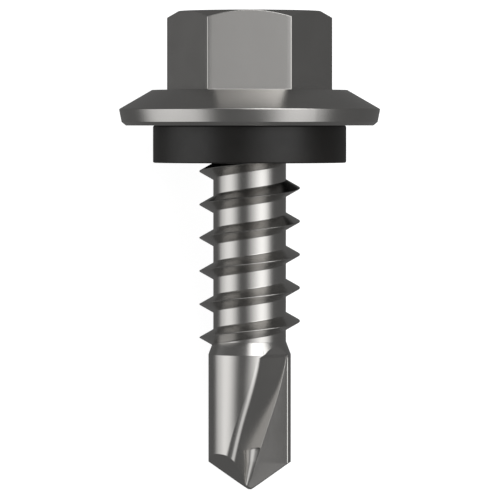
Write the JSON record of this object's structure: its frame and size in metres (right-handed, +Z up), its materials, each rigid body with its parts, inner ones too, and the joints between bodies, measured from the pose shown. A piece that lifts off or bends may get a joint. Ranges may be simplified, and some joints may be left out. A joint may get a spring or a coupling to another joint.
{
  "type": "self drilling screw",
  "caption": "Hexagon washer head self-drilling screw with a rubber sealing washer, for fixing sheet metal to steel.",
  "frame": {"origin": "bottom centre of the screw's box as it lies at rest on its flange and one flute of its drill point", "axes": "+X runs along the lying screw towards its head, +Z is up"},
  "size_m": [0.0262, 0.0142, 0.0137],
  "materials": {
    "steel": "bright plated steel",
    "rubber": "matt black rubber"
  },
  "bodies": {
    "root": {"screw": "steel", "sealing_washer": "rubber"}
  },
  "joints": []
}
